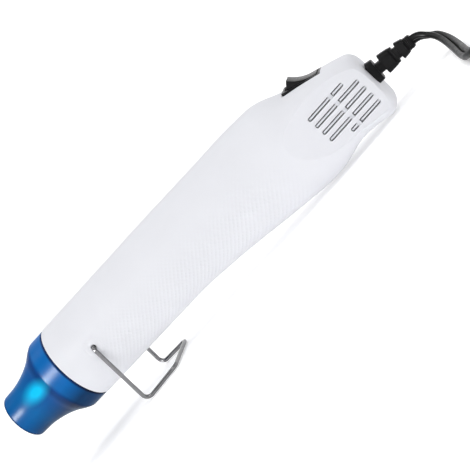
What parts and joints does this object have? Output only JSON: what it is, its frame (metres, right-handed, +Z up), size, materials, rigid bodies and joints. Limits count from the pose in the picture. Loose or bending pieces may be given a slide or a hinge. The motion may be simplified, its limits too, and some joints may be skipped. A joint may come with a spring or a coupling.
{
  "type": "embossing heat tool",
  "caption": "Slim corded hot-air gun with a tapered nozzle, a vented head with a rocker switch, a swinging wire stand and a coiled lead with a plug.",
  "frame": {"origin": "middle of the tool's ground plan, on the surface that it stands on, leaving out the lead", "axes": "+X along the tool from the nozzle's mouth to the lead, +Y to the far side of the tool, +Z up to the switch"},
  "size_m": [0.3821, 0.1376, 0.0577],
  "materials": {
    "white_abs": "satin, moulded",
    "blue_clear": "translucent blue, polished",
    "bright_steel": "polished wire",
    "black_plastic": "semi-gloss",
    "black_rubber": "matte",
    "tube_steel": "drawn",
    "mica": "mica sheet",
    "nichrome": "drawn wire",
    "heat_proof": "matte, heat-proof moulding",
    "motor_steel": "plated",
    "fan_plastic": "matte",
    "board": "laminate",
    "brass": "stamped",
    "screw_steel": "zinc plated"
  },
  "bodies": {
    "housing": {"housing_left": "white_abs", "housing_right": "white_abs", "nozzle": "blue_clear", "heat_tube": "tube_steel", "mica_sleeve": "mica", "mica_plate_flat": "mica", "mica_plate_upright": "mica", "heating_coil": "nichrome", "thermal_cutout": "tube_steel", "heater_carrier": "heat_proof", "motor_can": "motor_steel", "motor_end_cap": "fan_plastic", "motor_cradle": "white_abs", "rectifier_board": "board", "rectifier_diodes": "black_plastic", "housing_screws": "screw_steel", "switch_body": "black_plastic", "switch_terminals": "brass", "strain_relief": "black_rubber", "cord": "black_rubber", "cord_coil": "black_rubber", "plug_body": "black_rubber", "plug_pins": "brass"},
    "stand": {"stand_wire": "bright_steel"},
    "rocker": {"switch_rocker": "black_plastic"},
    "rotor": {"motor_shaft": "tube_steel", "fan": "fan_plastic"}
  },
  "joints": [
    {"name": "stand_swing", "type": "hinge", "parent": "housing", "child": "stand", "pos_m": [-0.06833, 0, 0.0355], "axis": [0, 1, 0], "range_deg": [-25, 78]},
    {"name": "rocker_tip", "type": "hinge", "parent": "housing", "child": "rocker", "pos_m": [0.08278, 0, 0.0377], "axis": [0, -1, 0], "range_deg": [0, 30]},
    {"name": "rotor_spin", "type": "hinge", "parent": "housing", "child": "rotor", "pos_m": [-0.03756, 0, 0.0343], "axis": [0.9992, 0, -0.039], "continuous": true}
  ]
}
